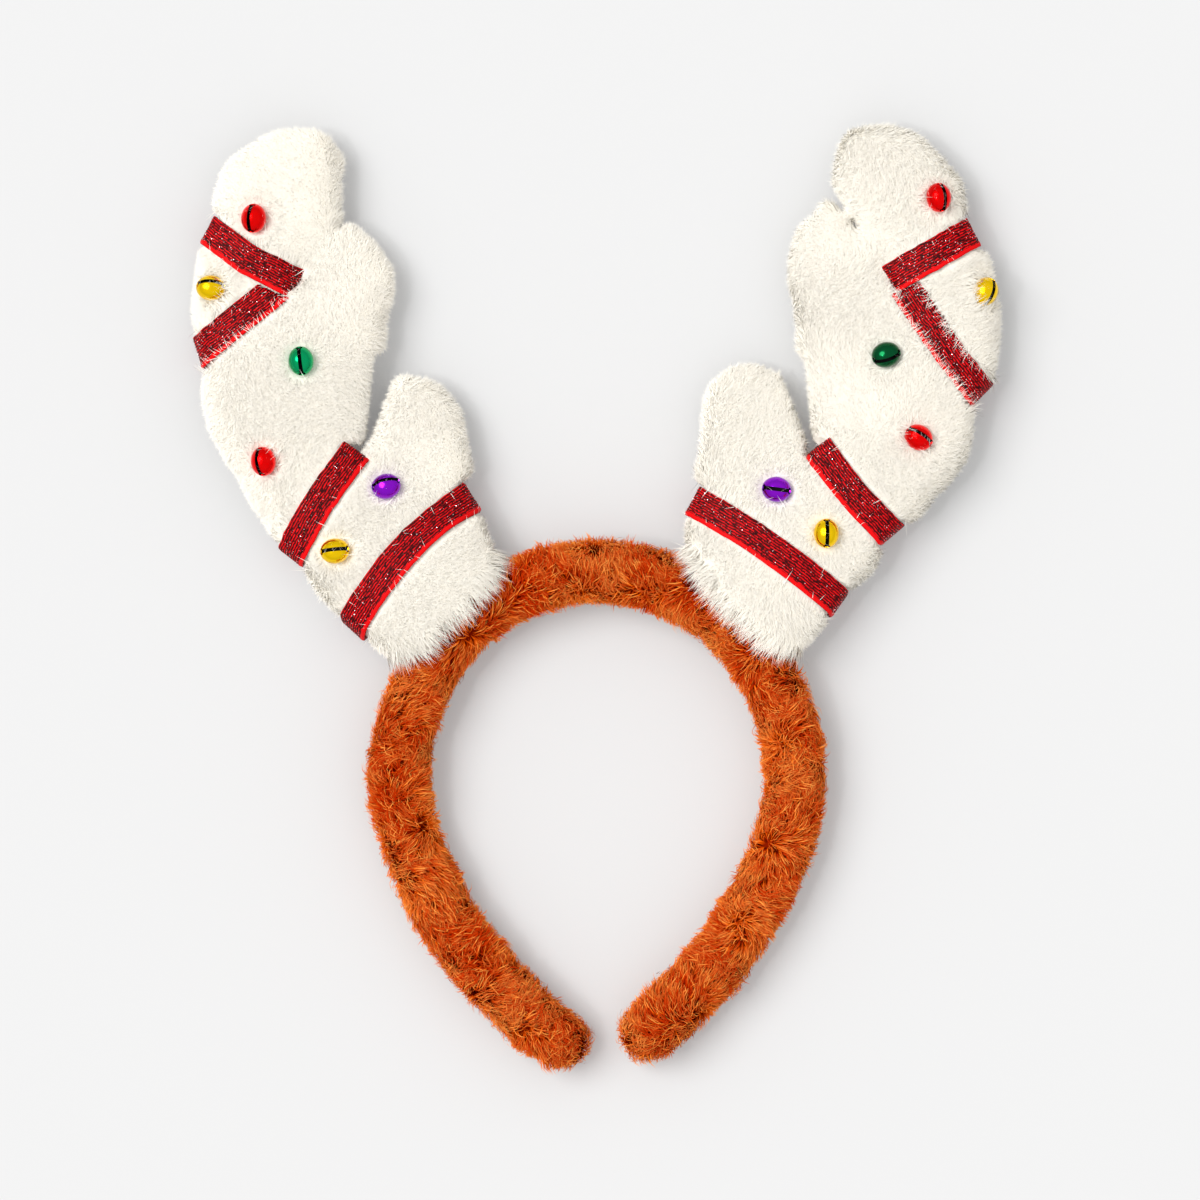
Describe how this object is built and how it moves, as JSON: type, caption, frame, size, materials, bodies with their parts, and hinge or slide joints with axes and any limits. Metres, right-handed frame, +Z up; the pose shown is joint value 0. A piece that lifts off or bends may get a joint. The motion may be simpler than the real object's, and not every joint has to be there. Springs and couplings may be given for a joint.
{
  "type": "reindeer antler headband",
  "caption": "Plush costume headband with stuffed reindeer antlers, glitter ribbon wound round them and small jingle bells, lying flat.",
  "frame": {"origin": "on the surface that the headband lies on, under the middle of its outline", "axes": "+X to the right as seen from above, +Y from the band's tips to the antlers' tips, +Z up, from the back of the head to its front when worn"},
  "size_m": [0.259, 0.3026, 0.0289],
  "materials": {
    "brown_plush": "long shaggy pile, rust brown with light tips",
    "white_plush": "short dense pile, creamy white",
    "red_glitter_ribbon": "dark red knit with glitter yarn and a bright red satin border",
    "red_bell": "gloss metallic lacquer",
    "gold_bell": "polished",
    "green_bell": "gloss metallic lacquer",
    "purple_bell": "gloss metallic lacquer"
  },
  "bodies": {
    "root": {"headband_cover": "brown_plush", "antler_left": "white_plush", "antler_right": "white_plush", "ribbon_left_1": "red_glitter_ribbon", "ribbon_left_2": "red_glitter_ribbon", "ribbon_left_3": "red_glitter_ribbon", "ribbon_left_4": "red_glitter_ribbon", "ribbon_right_1": "red_glitter_ribbon", "ribbon_right_2": "red_glitter_ribbon", "ribbon_right_3": "red_glitter_ribbon", "ribbon_right_4": "red_glitter_ribbon", "bell_left_1": "red_bell", "bell_left_2": "gold_bell", "bell_left_3": "green_bell", "bell_left_4": "red_bell", "bell_left_5": "purple_bell", "bell_left_6": "gold_bell", "bell_right_1": "red_bell", "bell_right_2": "gold_bell", "bell_right_3": "green_bell", "bell_right_4": "red_bell", "bell_right_5": "purple_bell", "bell_right_6": "gold_bell"}
  },
  "joints": []
}
